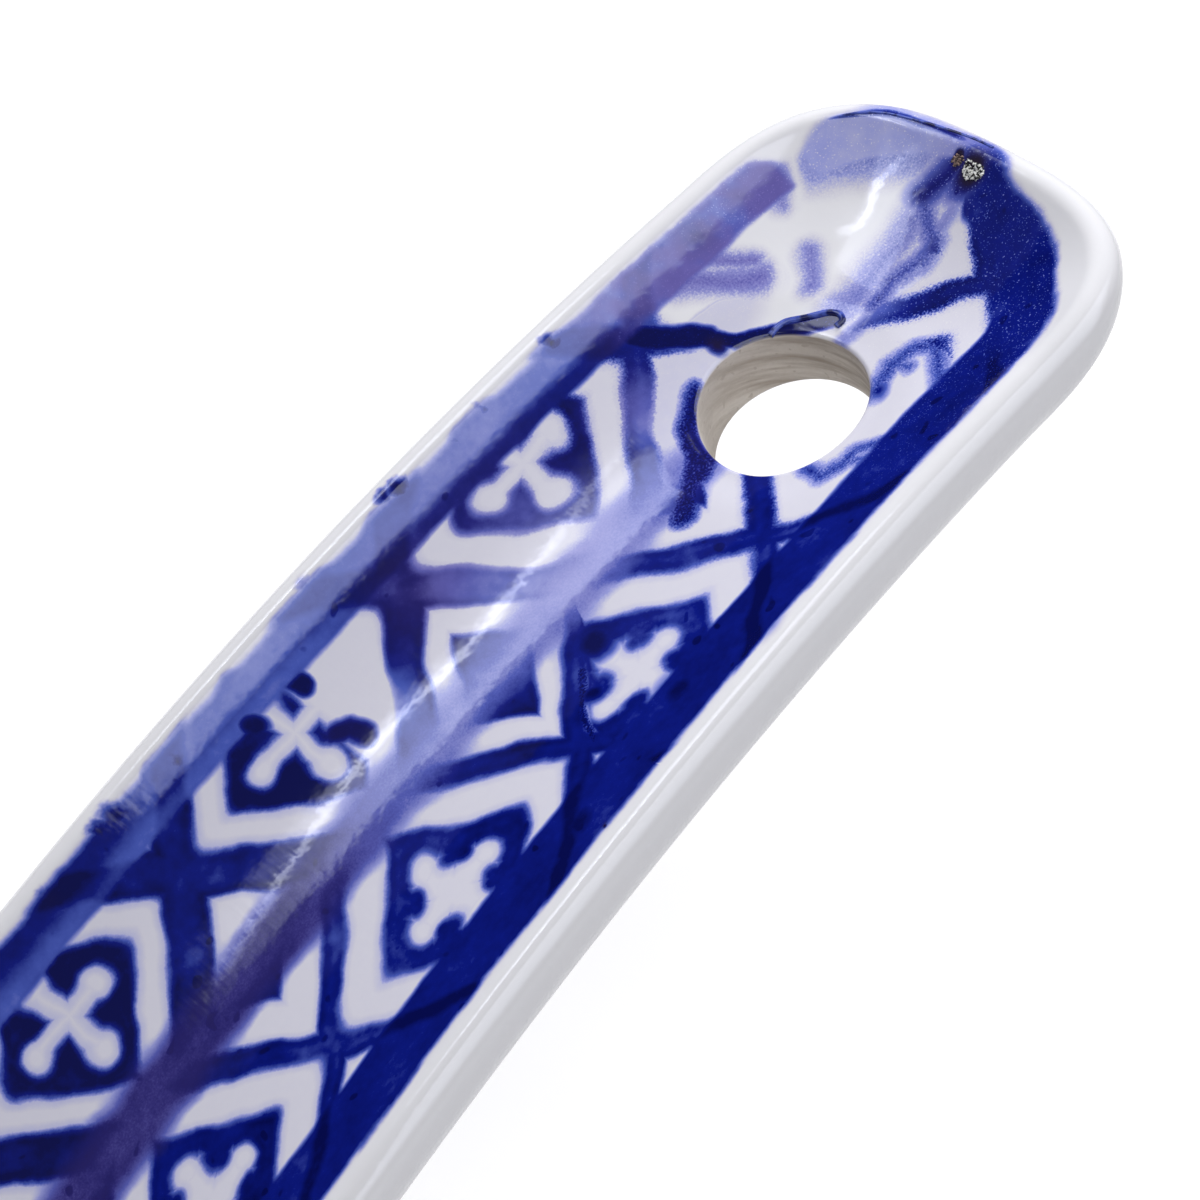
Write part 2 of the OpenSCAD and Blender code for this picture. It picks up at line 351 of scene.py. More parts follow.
def bodyShape():
    m, shape = spoonMesh, straightShape()
    lip, inside, reach = m["grooveLip"] / troughOut, m["insideRings"], m["holeRings"]
    surfaces = [facePoints(innerShare * (j / inside)) for j in range(1, inside)]
    surfaces += [facePoints(innerShare - lip), facePoints(innerShare)]
    surfaces += [sunkPoints(mix(innerShare, outerShare, share)) for share in (0, 0.5, 1)]
    surfaces += [facePoints(outerShare), facePoints(outerShare + lip)]
    surfaces += [rimPoints(j / m["rimRings"]) for j in range(m["rimRings"] + 1)]
    surfaces += [outsidePoints(np.cos(np.pi / 2 * j / m["outsideRings"])) for j in range(1, m["outsideRings"] + 1)]
    lowStart = len(surfaces) - 1
    surfaces += [underPoints(j / reach) for j in range(reach - 1, 0, -1)]
    rings = [shape.add(surface) for surface in surfaces]
    topMiddles = shape.add([(u, 0, 0) for u in middleU[firstSide:firstTip + 1]])
    underMiddles = shape.add([(u, 0, -wallAt(u)) for u in middleU[firstSide:firstTip + 1]])
    for j in range(len(rings) - 1):
        for i in range(spokeCount):
            n = (i + 1) % spokeCount
            if not (insideHole(i, n) and (j < reach - 1 or j >= lowStart)):
                shape.faces.append((rings[j][i], rings[j][n], rings[j + 1][n], rings[j + 1][i]))
    shape.faces += middleFan(topMiddles, rings[0])
    shape.faces += [f[::-1] for f in middleFan(underMiddles, rings[-1])]
    last, topLift, turn = holePatch(shape, topMiddles, rings[:reach], faceHeight, spoon["holeEdge"], True)
    lowLoop, lowLift, _ = holePatch(
        shape, underMiddles, rings[:lowStart - 1:-1], lambda u, v: -wallAt(u), spoon["holeUnderEdge"], False)
    for k in range(1, m["boreRings"]):
        points, _ = onBore(faceHeight, turn, holeRadius, mix(topLift, lowLift, k / m["boreRings"]))
        last = shape.join(last, shape.add(points, bare=1.0), True)
    shape.join(last, lowLoop, True)
    return shape, [rings[inside + k] for k in (0, 1, 3, 4)]


def bandShape():
    shape = straightShape()
    count, near = spoonMesh["bandRings"], spoonMesh["bandEdgeShare"]
    shares = [0, near] + [j / count for j in range(1, count)] + [1 - near, 1]
    top = [shape.add(facePoints(mix(innerShare, outerShare, s))) for s in shares]
    low = [shape.add(sunkPoints(mix(outerShare, innerShare, s))) for s in (0, 0.5, 1)]
    for ring, following in zip(top + low, top[1:] + low + top[:1]):
        shape.join(ring, following)
    return shape, [top[0], top[-1], low[0], low[-1]]


def profileRun(reach, out, high, power, count=60):
    # length of an inside profile from the middle to a share of its way out
    steps = np.linspace(0, 1, count)[:, None] * reach
    return np.hypot(np.diff(steps * out, axis=0), np.diff(high * steps ** power, axis=0)).sum(0)


# Half the width of the printed sheet along the spoon: in the bowl it stays as wide as at the neck's end
stationU = np.linspace(0, spoon["fullLength"] - 0.01, 500)
stationRun = profileRun(1.0, *troughEdge(halfWidth(stationU), stationU), insidePower(stationU), 90)
handleRun = np.where(stationU < neckEnd, np.interp(neckEnd, stationU, stationRun), stationRun)


def printPlaces(points):
    # where points lie on the printed sheet: along it, across it from its middle, and in from the rim
    u, v, h = points.T
    past = np.where(u > tipAt, u - tipAt, np.minimum(u - spoon["bowlFrontLength"], 0))
    r, angle = np.hypot(past, v), np.arctan2(np.abs(v), np.abs(past))
    half = lastLeft + 1
    spokeAngle = np.arctan2(np.abs(edgeV[:half]), np.abs(edgeU - middleU)[:half])
    tipLength = np.interp(angle, spokeAngle[:firstTip - 1:-1], spokeLength[:half][:firstTip - 1:-1])
    frontLength = np.interp(angle, spokeAngle[:firstSide + 1], spokeLength[:firstSide + 1])
    length = np.where(past > 0, tipLength, np.where(past < 0, frontLength, halfWidth(u)))
    middle = np.where(past > 0, tipAt, spoon["bowlFrontLength"])
    edge = np.where(past == 0, u, middle + past / np.maximum(r, 1e-9) * length)
    out, high = troughEdge(length, edge)
    power = insidePower(edge)
    share = np.minimum(r / out, 1)
    fromRim = profileRun(1.0, out, high, power) - profileRun(share, out, high, power)
    # points well under the face are on the outer wall, far out of the print
    underFace, underRim, wallMark = 0.5, 0.3, -9.0
    outward = h < np.where(r < out, high * share ** power - underFace, high - underRim)
    fromRim = np.where(r > out, -np.hypot(r - out, h - high), np.where(outward, wallMark, fromRim))
    # on the handle the sheet is laid square across, also round the tip
    out, high = troughEdge(halfWidth(np.minimum(u, spoon["fullLength"])), u)
    over = np.abs(v) - out
    across = profileRun(np.minimum(np.abs(v) / out, 1), out, high, insidePower(u)) + np.maximum(over, 0)
    rimLaid = np.interp(u, stationU, handleRun) - fromRim
    across = np.where(v < 0, -1.0, 1.0) * mix(rimLaid, across, ease((u - neckEnd) / spoon["sheetTurns"] + 1))
    along = np.where(u < neckEnd, np.interp(edge, rimStations, rimAlong), u - holeAt)
    return along, across, fromRim


# Length along the rim of the bowl, so that the rows keep their pitch round it
rimStations = edgeU[:lastLeft + 1]
leftX, leftZ = bentPlace(rimStations, rimHeight(rimStations))
rimSteps = np.sqrt(np.diff(leftX) ** 2 + np.diff(edgeV[:lastLeft + 1]) ** 2 + np.diff(leftZ) ** 2)
rimTravel = np.concatenate([[0], np.cumsum(rimSteps)])
rimAlong = rimTravel - np.interp(neckEnd, rimStations, rimTravel) + neckEnd - holeAt


def addObject(name, data):
    made = bpy.data.objects.new(name, data)
    bpy.context.scene.collection.objects.link(made)
    return made


def straightMesh(name, shape, sharpRings):
    # the mesh of a shape without its unused points, with the marks that the bend and the finishes read
    points, bare = dimpled(np.concatenate(shape.places)), np.concatenate(shape.bare)
    faceList = [tuple(dict.fromkeys(f)) for f in shape.faces]
    used = np.zeros(len(points), bool)
    for f in faceList:
        used[list(f)] = True
    number = np.cumsum(used) - 1
    mesh = bpy.data.meshes.new(name)
    mesh.from_pydata((points[used] * mm).tolist(), [], [tuple(int(number[i]) for i in f) for f in faceList])
    marks = dict(zip(("along", "across", "height"), points[used].T * mm), bareClay=bare[used])
    marks.update(zip(("printAlong", "printAcross", "fromRim"), printPlaces(points[used])))
    for mark, values in marks.items():
        kept = mesh.attributes.new(mark, "FLOAT", "POINT")
        kept.data.foreach_set("value", np.ascontiguousarray(values, np.float32))
    mesh.validate()
    mesh.shade_smooth()
    ringOf = {}
    for r, ring in enumerate(sharpRings):
        for i in ring:
            ringOf[int(number[i])] = r
    ends = np.zeros(len(mesh.edges) * 2, np.int32)
    mesh.edges.foreach_get("vertices", ends)
    sharp = [a in ringOf and ringOf.get(b) == ringOf[a] for a, b in ends.reshape(-1, 2).tolist()]
    mesh.attributes.new("sharp_edge", "BOOLEAN", "EDGE").data.foreach_set("value", sharp)
    return addObject(name, mesh)


def lineObject(name, places):
    mesh = bpy.data.meshes.new(name)
    mesh.from_pydata(places, [(i, i + 1) for i in range(len(places) - 1)], [])
    return addObject(name, mesh)


class wire:
    # an output in a node tree, so that what the tree does can be written as sums
    def __init__(self, tree, socket):
        self.tree, self.socket = tree, socket

    def other(self, name):
        # another output of the same node
        return wire(self.tree, self.socket.node.outputs[name])

    def calc(self, kind, *others):
        return grow(self.tree, "ShaderNodeMath", enumerate((self,) + others), operation=kind)

    def vector(self, kind, *others, out=0):
        return grow(self.tree, "ShaderNodeVectorMath", enumerate((self,) + others), out, operation=kind)

    __add__, __sub__ = partialmethod(calc, "ADD"), partialmethod(calc, "SUBTRACT")
    __mul__, __abs__ = partialmethod(calc, "MULTIPLY"), partialmethod(calc, "ABSOLUTE")
    less, more = partialmethod(calc, "MINIMUM"), partialmethod(calc, "MAXIMUM")

    def between(self, low, high):
        # rises smoothly from 0 to 1
        return grow(self.tree, "ShaderNodeMapRange", {"Value": self, "From Min": low, "From Max": high}, "Result",
                    interpolation_type="SMOOTHSTEP", clamp=False)

    def inside(self, soft):
        # 1 where a distance is under zero, 0 where it is over, with a soft edge
        return self.between(soft, -soft)


def feed(value, socket):
    if isinstance(value, wire):
        value.tree.links.new(value.socket, socket)
    else:
        socket.default_value = value


def grow(tree, kind, inputs=(), out=0, **settings):
    # adds a node with its settings and inputs, and gives one of its outputs
    node = tree.nodes.new(kind)
    for name, value in settings.items():
        setattr(node, name, value)
    for name, value in dict(inputs).items():
        feed(value, node.inputs[name])
    return wire(tree, node.outputs[out])


def joined(tree, *values):
    return grow(tree, "ShaderNodeCombineXYZ", enumerate(values))


def parts(value, kind="ShaderNodeSeparateXYZ"):
    first = grow(value.tree, kind, {0: value})
    return first, first.other(1), first.other(2)


def namedMark(tree, mark):
    return grow(tree, "GeometryNodeInputNamedAttribute", {"Name": mark}, "Attribute", data_type="FLOAT")


def newTree(name, kinds):
    # a tree with named inputs between its geometry and its finish; gives the tree and its inputs
    tree = bpy.data.node_groups.new(name, "GeometryNodeTree")
    for label, kind in {"Geometry": "Geometry", **kinds, "Finish": "Material"}.items():
        tree.interface.new_socket(label, in_out="INPUT", socket_type="NodeSocket" + kind)
    tree.interface.new_socket("Geometry", in_out="OUTPUT", socket_type="NodeSocketGeometry")
    start = tree.nodes.new("NodeGroupInput")
    return tree, {socket.name: wire(tree, socket) for socket in start.outputs if socket.name}


def endTree(tree, geometry, finish):
    real = grow(tree, "GeometryNodeRealizeInstances", {0: geometry})
    painted = grow(tree, "GeometryNodeSetMaterial", {"Geometry": real, "Material": finish})
    feed(painted, tree.nodes.new("NodeGroupOutput").inputs[0])
    return tree


def bendTree():
    # bends the straight spoon along its floor line and grinds its foot flat
    tree, given = newTree("bendAlongFloorLine", {"Floor line": "Object", "Foot level": "Float"})
    along, across, height = [namedMark(tree, mark) for mark in ("along", "across", "height")]
    line = grow(tree, "GeometryNodeObjectInfo", {"Object": given["Floor line"]}, "Geometry")
    curve = grow(tree, "GeometryNodeMeshToCurve", {"Mesh": line})
    onLine = grow(tree, "GeometryNodeSampleCurve", {"Curves": curve, "Length": along}, "Position", mode="LENGTH")
    square = onLine.other("Tangent").vector("CROSS_PRODUCT", (0, 1, 0))
    lift = grow(tree, "ShaderNodeVectorMath", {0: square, "Scale": height}, operation="SCALE")
    x, y, z = parts(onLine.vector("ADD", joined(tree, 0, across)).vector("ADD", lift))
    place = joined(tree, x, y, z.more(given["Foot level"]))
    bent = grow(tree, "GeometryNodeSetPosition", {"Geometry": given["Geometry"], "Position": place})
    return endTree(tree, bent, given["Finish"])


def runTree(carrier, tree, values):
    # gives the carrier the result of a tree as a plain mesh
    modifier = carrier.modifiers.new(tree.name, "NODES")
    modifier.node_group = tree
    for item in tree.interface.items_tree:
        if item.item_type == "SOCKET" and item.in_out == "INPUT" and item.name in values:
            modifier[item.identifier] = values[item.name]
    bpy.context.view_layer.update()
    ready = carrier.evaluated_get(bpy.context.evaluated_depsgraph_get())
    mesh = bpy.data.meshes.new_from_object(ready)
    carrier.modifiers.remove(modifier)
    carrier.data = mesh
    return carrier


def readMark(tree, mark):
    return grow(tree, "ShaderNodeAttribute", (), "Fac", attribute_name=mark)


def objectPlace(tree):
    return grow(tree, "ShaderNodeTexCoord", (), "Object")


def clouds(place, perMetre, detail, rough, out="Fac"):
    inputs = {"Vector": place, "Scale": perMetre, "Detail": detail, "Roughness": rough}
    return grow(place.tree, "ShaderNodeTexNoise", inputs, out)


def threeClouds(place, perMetre, detail, rough):
    return parts(clouds(place, perMetre, detail, rough, "Color"), "ShaderNodeSeparateColor")


def blendColour(share, a, b):
    return grow(share.tree, "ShaderNodeMix", {0: share, 6: a, 7: b}, 2, data_type="RGBA")


def stroke(spot, path, radius):
    # distance from a brush stroke through a few points
    nearest = None
    for (ax, ay), (bx, by) in zip(path, path[1:]):
        dx, dy = bx - ax, by - ay
        size = dx * dx + dy * dy
        away = spot.vector("SUBTRACT", (ax, ay, 0))
        share = away.vector("DOT_PRODUCT", (dx / size, dy / size, 0), out=1).more(0.0).less(1.0)
        step = grow(spot.tree, "ShaderNodeVectorMath", {0: (dx, dy, 0), "Scale": share}, operation="SCALE")
        gap = away.vector("SUBTRACT", step).vector("LENGTH", out=1)
        nearest = gap if nearest is None else nearest.less(gap)
    return nearest - radius


def farFrom(spot, centre):
    return spot.vector("DISTANCE", (*centre, 0), out=1)


# The transfer sheets, in millimetres: left and right of the middle of the handle
leftSheet = {"crossing": -14.1, "pitch": 12.7, "line": 0.58, "gap": 1.0, "chevron": 1.7, "vee": 1.4,
             "size": 1.0, "lobeAt": 1.70, "lobe": 0.70, "arm": 0.44, "fillet": 0.28, "bite": 0.0}
rightSheet = {"crossing": -5.0, "pitch": 13.0, "line": 0.28, "gap": 0.55, "chevron": 2.05, "vee": 0.95,
              "size": 0.84, "lobeAt": 1.78, "lobe": 0.70, "arm": 0.80, "fillet": 0.05,
              "bite": 0.54, "biteFar": 1.32, "biteNear": 1.1}
farSheet = dict(rightSheet, crossing=-27.8, pitch=13.1, size=0.94)
# The print over the sheets: band edges in from the rim, and the colours under the glaze
printing = {
    "bandOuterRight": 0.38, "bandOuterLeft": 0.2, "bandInnerRight": 3.35, "bandInnerLeft": 2.05, "soft": 0.27,
    "floorFrom": 8.9, "floorLine": 0.34, "thinLine": 0.14,
    "rimWhite": (0.87, 0.87, 0.92, 1), "white": (0.74, 0.73, 0.85, 1), "bleed": (0.38, 0.41, 0.82, 1),
    "pale": (0.075, 0.12, 0.54, 1), "cobalt": (0.004, 0.011, 0.235, 1), "deep": (0.002, 0.004, 0.085, 1),
    "purple": (0.19, 0.155, 0.50, 1), "darkPurple": (0.028, 0.02, 0.16, 1), "iron": (0.022, 0.014, 0.03, 1),
    "bareClay": (0.56, 0.51, 0.46, 1), "paleClay": (0.76, 0.71, 0.65, 1), "stain": (0.16, 0.105, 0.06, 1),
}
# Clouds that make the print uneven: how many to the metre, detail, roughness
printClouds = {
    "wander": (500, 1.0, 0.4), "fray": (2600, 2.0, 0.6), "blotch": (360, 3.0, 0.62), "pool": (130, 1.0, 0.5),
    "grain": (7000, 1.0, 0.5), "fine": (12000, 1.0, 0.5), "drops": (1500, 0.0, 0.5), "bubbles": (15000, 0.0, 0.5),
}
# Where the print is worn paler, and where it turns purple: centre, reach, strength
palePatches = {
    "byHole": ((-9.5, 3.4), 5.0, 0.35), "crown": ((-17.4, 3.6), 2.2, 0.7), "leftOfHole": ((-3.2, 3.2), 2.6, 0.6),
    "pastHole": ((6.0, 0.2), 2.8, 0.4), "crossing": ((-12.4, 4.2), 2.8, 0.4),
}
purplePatches = {
    "byHole": ((-9.5, 4.4), 6.0, 0.4), "leftOfHole": ((-3.6, 4.4), 2.6, 0.5), "crossing": ((-13.8, 5.4), 3.4, 0.6),
}
# A painted glint: a thin line with the ink taken out, through the washes at the left of the hole
paintedGlint = ((8.2, 7.6), (7.4, 6.1), (6.4, 5.1), (4.6, 4.2), (3.2, 3.2))
# Brush marks and washes by the hole and the tip: path, radius, softness, strength, share of purple
brushMarks = {
    "holeLine": (((-1.5, 6.3), (-0.3, 5.0), (0.5, 4.1)), 0.44, 0.2, 1.0, 0.0),
    "holeHook": (((0.5, 4.1), (1.15, 3.35), (2.3, 2.5), (3.1, 1.8), (3.9, 1.1)), 0.32, 0.16, 1.0, 0.0),
    "innerLine": (((-1.6, 3.0), (-2.7, 2.1), (-3.6, 1.1), (-4.6, 0.35), (-5.7, -0.4)), 0.42, 0.4, 0.89, 0.0),
    "innerWedge": (((-3.3, 0.8), (-4.1, 0.4)), 0.5, 0.4, 0.89, 0.0),
    "innerPool": (((-1.6, 3.0), (-2.6, 2.15), (-3.25, 0.9)), 0.18, 0.3, 1.0, 0.0),
    "squiggleA": (((-1.8, -3.0), (-1.8, -3.8), (-1.1, -4.3), (-0.4, -4.3), (0.1, -5.0)), 0.26, 0.6, 0.66, 0.0),
    "footA": (((-1.0, -4.3), (-0.7, -5.0)), 0.16, 0.5, 0.62, 0.0),
    "squiggleB": (((2.1, -2.7), (3.2, -2.25), (4.3, -2.7), (4.7, -3.3), (4.2, -4.2), (3.5, -5.1)),
                  0.26, 0.6, 0.68, 0.0),
    "spurB": (((3.3, -2.4), (3.5, -3.2)), 0.16, 0.5, 0.62, 0.0),
    "tipWave": (((5.2, 0.3), (6.4, 0.35), (7.3, -0.2), (8.2, -0.1), (8.9, 0.8), (9.5, 1.3), (10.8, 1.3)),
                0.2, 0.85, 0.72, 0.3),
    "tipShade": (((9.6, 1.5), (11.1, 0.9), (11.6, -0.4)), 0.4, 0.8, 0.95, 0.0),
    "blueWash": (((4.4, 1.2), (8.8, 1.2)), 0.4, 1.0, 0.40, 0.25),
    "leftWash": (((0.8, 7.0), (2.0, 5.7), (3.6, 4.4)), 0.35, 0.85, 0.40, 0.8),
    "leftFoot": (((2.9, 6.2), (4.0, 5.0)), 0.25, 0.6, 0.36, 0.8),
    "smallWash": (((4.5, 2.8), (5.7, 3.8)), 0.25, 0.7, 0.36, 0.5),
    "tipWash": (((8.6, 6.2), (9.9, 4.6), (10.9, 2.8)), 1.0, 0.9, 0.28, 0.0),
    "edgeWash": (((10.9, 4.8), (11.5, 3.2), (11.5, 1.8)), 0.35, 0.6, 0.46, 0.0),
    "dotHigh": (((-19.3, 7.6), (-19.0, 6.5)), 0.40, 0.2, 1.0, 0.0),
    "dotLow": (((-19.5, 4.3), (-19.1, 4.1), (-18.8, 3.4)), 0.36, 0.25, 1.0, 0.2),
    "sheetCut": (((-14.3, -4.4), (-13.6, -3.1), (-12.6, -1.9)), 0.22, 0.2, 0.85, 0.0),
    "cornerWash": (((7.2, 6.8), (6.4, 6.0)), 0.25, 0.7, 0.30, 0.5),
}
# Blots: centre, radius, softness, strength, share of iron brown
blots = {
    "rimBlotA": ((-30.4, 8.75), 0.36, 0.45, 1.0, 0.1), "rimBlotB": ((-26.6, 8.65), 0.36, 0.5, 1.0, 0.1),
    "rimBlotB2": ((-27.3, 8.75), 0.30, 0.4, 1.0, 0.1), "rimBlotC": ((-23.6, 8.35), 0.30, 0.45, 0.9, 0.0),
    "rimBlotD": ((-11.4, 8.6), 0.30, 0.35, 1.0, 0.1), "rimBlotD2": ((-11.9, 8.75), 0.22, 0.35, 0.9, 0.1),
    "rimBlotE": ((-3.7, 8.25), 0.22, 0.35, 0.9, 0.1), "rimBlotF": ((-16.2, 8.6), 0.30, 0.4, 0.5, 0.0),
    "rimBlotG": ((-7.2, 8.4), 0.16, 0.3, 0.7, 0.0), "rimBlotH": ((-8.6, 8.4), 0.14, 0.3, 0.6, 0.0),
    "notchPool": ((-21.1, 6.75), 0.5, 0.3, 1.0, 0.0),
    "crownShade": ((-11.4, -1.35), 0.8, 0.6, 1.0, 0.0), "holePool": ((0.5, 3.65), 0.35, 0.3, 1.0, 0.5),
    "edgePoolA": ((2.2, -2.8), 0.25, 0.5, 0.88, 0.0), "edgePoolB": ((-1.8, -3.2), 0.2, 0.45, 0.85, 0.0),
    "shadowA": ((-17.0, -6.9), 0.9, 0.9, 1.0, 0.0), "shadowB": ((-8.0, -7.0), 0.9, 0.9, 0.97, 0.0),
    "shadowC": ((-11.3, -6.3), 0.9, 0.9, 1.0, 0.0), "granuleBed": ((11.05, 0.1), 0.55, 0.35, 1.0, 1.0),
    "speckBed": ((11.1, 0.95), 0.26, 0.15, 1.0, 0.9), "bandSpeck": ((-16.5, -8.35), 0.10, 0.15, 1.0, 0.8),
    "strayDot": ((7.5, -6.9), 0.11, 0.12, 0.9, 0.0), "bandStain": ((3.1, 7.3), 0.55, 0.6, 0.5, 0.3),
    "bandStainB": ((5.4, 7.2), 0.3, 0.5, 0.5, 0.2), "tipDark": ((10.9, 0.1), 0.8, 0.9, 1.0, 0.0),
    "clubShade": ((-12.9, -2.9), 0.45, 0.4, 1.0, 0.0),
}


def latticeRow(along, across, row):
    # crossed lines, chevrons and blossoms of one sheet
    # gives the distance from its white shapes, its lines, and the distance past a line
    half, diagonal = row["pitch"] / 2, 0.707
    x = abs((along - row["crossing"]).calc("WRAP", half, -half))
    q = (across * across + 0.06).calc("SQRT") - 0.1
    past = x - q
    line = (abs(past) * diagonal - row["line"]).inside(0.2)
    middle = row["gap"] + row["chevron"] / 2
    chevron = (abs(past - middle) - row["chevron"] / 2) * 0.8
    fromBlossom = (x * -1 + half) * (1 / row["size"])
    q = abs(across) * (1 / row["size"])
    far, near = fromBlossom.more(q), fromBlossom.less(q)
    lobe = ((far - row["lobeAt"]).calc("POWER", 2.0) + near * near).calc("SQRT") - row["lobe"]
    arm = (near - row["arm"]).more(far - row["lobeAt"])
    blossom = lobe.calc("SMOOTH_MIN", arm, row["fillet"])
    if row["bite"]:
        # a dot of ink in each corner of the blossom
        dot = (far - row["biteFar"]).calc("POWER", 2.0) + (near - row["biteNear"]).calc("POWER", 2.0)
        blossom = blossom.more((dot.calc("SQRT") - row["bite"]) * -1)
    return chevron.less(blossom * row["size"]), line, past


def hump(place, centre, reach):
    return abs(place - centre).between(reach, 0.0)


def mound(spot, centre, reach):
    # 1 at its centre, falling to 0 at its reach
    return farFrom(spot, centre).between(reach, 0.0)


def flip(value):
    # 1 less the value
    return value.calc("MULTIPLY_ADD", -1.0, 1.0)


def printedSheet():
    # the cobalt print, shared by the body and its band
    tree = bpy.data.node_groups.new("cobaltPrint", "ShaderNodeTree")
    for name, kind in (("Colour", "Color"), ("Blotch", "Float"), ("Grain", "Float")):
        tree.interface.new_socket(name, in_out="OUTPUT", socket_type="NodeSocket" + kind)
    p = printing
    place = objectPlace(tree)
    s, v, rim = readMark(tree, "printAlong"), readMark(tree, "printAcross"), readMark(tree, "fromRim")
    wander, fray = [threeClouds(place, *printClouds[name]) for name in ("wander", "fray")]
    blotch, pool, grain, fine, drops, bubbles = [
        clouds(place, *printClouds[name]) for name in ("blotch", "pool", "grain", "fine", "drops", "bubbles")]
    u = s + (wander[0] - 0.5) * 0.75 + (fray[0] - 0.5) * 0.10
    w = v + (wander[1] - 0.5) * 0.7 + (fray[1] - 0.5) * 0.10
    spot = joined(tree, u, w)

    # left sheet: its row rises at the second crossing, and half a blossom there is washed out
    leftMiddle = hump(s, -14.1, 5.0) * 0.8 + (s.between(-11.5, -8) * 0.4 + 5.5)
    leftWhite, leftLine, leftPast = latticeRow(u, w - leftMiddle, leftSheet)
    outlined = flip(hump(s, -14.1, 5.2).between(0.1, 0.3)) * 5
    leftVee = (leftPast + leftSheet["vee"] - s.between(-5.6, -4.8) * 0.75).more(leftPast * -1 - 2.85 - outlined)
    washed = (leftPast * -1 + leftSheet["gap"]).more(u * -1 - 19.5).more(u + 14.1)
    leftWhite = leftWhite.less(leftVee).less(washed)

    # right sheets, the far one cut along a slant and laid over the near one
    rightMiddle = s.between(-2, 8) * 0.5 - 3.9
    near, far = latticeRow(u, w - rightMiddle, rightSheet), latticeRow(u, w + 4.0, farSheet)
    cut = (u - (w + 4.0).more(0.0) * 0.75 + 13.9).inside(0.12)
    rightWhite, rightLine, rightPast = [mix(a, b, cut) for a, b in zip(near, far)]
    notched = rightPast * -1 - 3.0 + hump(s, -14.4, 4.2) * 0.9 + hump(s, 8.0, 4.2) * 0.3
    rightVee = (rightPast + rightSheet["vee"]).more(notched)
    hollow = (near[2] * -1 + rightSheet["gap"]).more(u * -1 - 4.5).more(u - 4.6)
    rightWhite = rightWhite.less(rightVee).less(hollow)

    # where each sheet ends, and the smear between them
    leftReach = (w - 2.1).between(-0.6, 0.6)
    rightReach = (w + 0.3).between(0.6, -0.5)
    smear = flip(leftReach + rightReach)
    onLeft = (w - 0.9).between(-0.1, 0.1)
    white, line = mix(rightWhite, leftWhite, onLeft), mix(rightLine, leftLine, onLeft)
    white = white + (fine - 0.5) * (s.between(-12, 6) * 0.55 + 0.06)
    edge = white.between(0.8, 0.1)  # ink pools beside the white shapes, and bleeds a little into them
    density = blotch * 0.85 + pool * 0.60 + edge * 0.10 - line * 0.06 + 0.02
    ground = (white.between(-p["soft"], p["soft"] * 1.4) * density).more(white.between(-0.9, 0.2) * 0.12)
    dark = s.between(-17.0, -27.0)
    smearInk = ground * (abs(w - 0.9).between(0.0, 0.9) * 0.24) + blotch * 0.30 + dark * 0.40 + fine * 0.16 + 0.075
    ground = ground * (s.between(-19, -23) * leftReach * 0.22 + 1)
    ink = mix(ground, smearInk, smear)
    for centre, reach, strength in palePatches.values():
        ink = ink * flip(mound(spot, centre, reach) * strength)
    purple = smear * (dark * 0.5 + 0.2)
    for centre, reach, strength in purplePatches.values():
        purple = purple + mound(spot, centre, reach) * strength

    # past the hole the left of the print is washed off, and brush marks lie over it
    wash = (u + 0.2).between(-0.5, 0.5) * (w - 0.3).between(-0.4, 0.4)
    ink = ink.more(0.05) * flip(wash)
    grit = fine * 1.5 + 0.25
    fromHole = spot.vector("LENGTH", out=1)
    leftSide = (w - s * 0.5).between(1.6, 3.0)
    dimpleShade = fromHole.between(5.2, 5.0) * leftSide  # painted shade where the glaze dips round the hole
    # painted shade: a darker crescent inside the edge of the dimple on its left, and a thin darker line along that edge
    ink = ink.more(dimpleShade * 0.075).more((abs(fromHole - 5.12) - 0.04).inside(0.1) * leftSide * 0.13)
    for path, radius, soft, strength, violet in brushMarks.values():
        mark = stroke(spot, path, radius).inside(soft)
        dabbed = mark * strength
        ink = ink.more(dabbed * grit if strength < 0.9 else dabbed)
        if violet:
            purple = purple.more(mark * violet)

    # band round the rim: wider on the right, in from the rim at the right of the tip, worn thin at the left
    side = v.between(-0.6, 0.6)
    rough = (wander[2] - 0.5) * (side * -0.15 + 0.45 - s.between(3, 8) * 0.22) + (fray[2] - 0.5) * 0.10
    corner = mound(spot, (9.0, -5.9), 4.2) + mound(spot, (11.4, -3.0), 2.6) * 0.15
    overTip = s.between(10.4, 12.1) * v.between(-3.0, -0.2) * 0.95
    overTip = overTip + mound(spot, (10.6, 5.8), 3.0) * 0.5 - mound(spot, (8.0, 7.0), 2.2) * 0.8
    tipEnd = mound(spot, (11.5, 0.6), 6.5)
    outer = rim + rough + overTip - corner - p["bandOuterRight"]
    outer = outer + side * (p["bandOuterRight"] - p["bandOuterLeft"])
    inner = rim + rough - corner * 0.8 + tipEnd * 1.7 - p["bandInnerRight"]
    inner = inner + side * (p["bandInnerRight"] - p["bandInnerLeft"])
    worn = (s - 7.4).between(-0.3, 0.3) * (w - 1.0).between(-0.6, 0.8)
    thin = (s + 1.5).between(-2.5, 1.5) * side
    watery = side * (rim.between(1.7, 1.0) * s.between(2.0, -4.0) * s.between(-27.5, -24.5)).more(
        hump(rim, 1.75, 1.1) * s.between(-14, -18) * 0.9)
